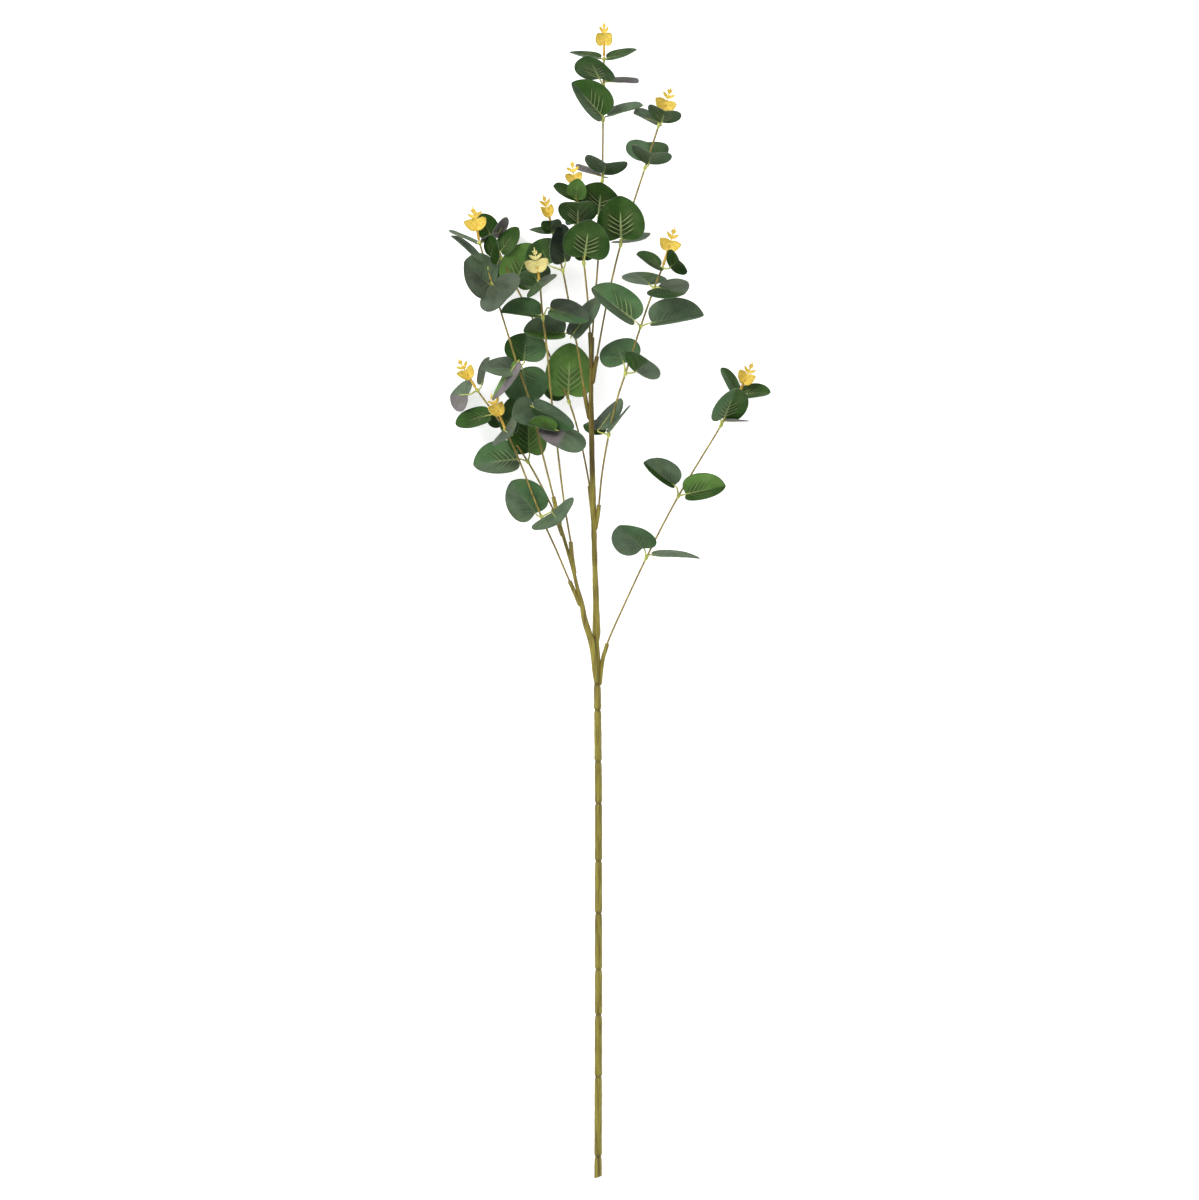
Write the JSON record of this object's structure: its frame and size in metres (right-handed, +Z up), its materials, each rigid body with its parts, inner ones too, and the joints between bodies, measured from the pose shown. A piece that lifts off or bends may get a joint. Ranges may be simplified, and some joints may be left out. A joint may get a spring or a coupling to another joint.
{
  "type": "eucalyptus stem",
  "caption": "Artificial eucalyptus stem about 0.97 m long, lying down, with eleven leafy green branches that end in small yellow sprigs.",
  "frame": {"origin": "centre of the underside of the box round the whole stem, on the surface it lies on", "axes": "+Y along the stem from the cut end to the leafy top, +X to the right as seen from above, +Z up, away from the surface"},
  "size_m": [0.2696, 0.9682, 0.1193],
  "materials": {
    "stem_olive": "satin",
    "leaf_green": "matte",
    "tip_yellow": "matte",
    "core_steel": "brushed"
  },
  "bodies": {
    "root": {"main_stem": "stem_olive", "left_stem": "stem_olive", "steel_core": "core_steel", "top_branch": "leaf_green", "top_tip": "tip_yellow", "high_right_branch": "leaf_green", "high_right_tip": "tip_yellow", "high_left_branch": "leaf_green", "high_left_tip": "tip_yellow", "centre_left_branch": "leaf_green", "centre_left_tip": "tip_yellow", "right_branch": "leaf_green", "right_tip": "tip_yellow", "front_left_branch": "leaf_green", "front_left_tip": "tip_yellow", "long_left_branch": "leaf_green", "long_left_tip": "tip_yellow", "back_left_branch": "leaf_green", "back_left_tip": "tip_yellow", "low_left_branch": "leaf_green", "low_left_tip": "tip_yellow", "inner_left_branch": "leaf_green", "inner_left_tip": "tip_yellow", "low_right_branch": "leaf_green", "low_right_tip": "tip_yellow"}
  },
  "joints": []
}
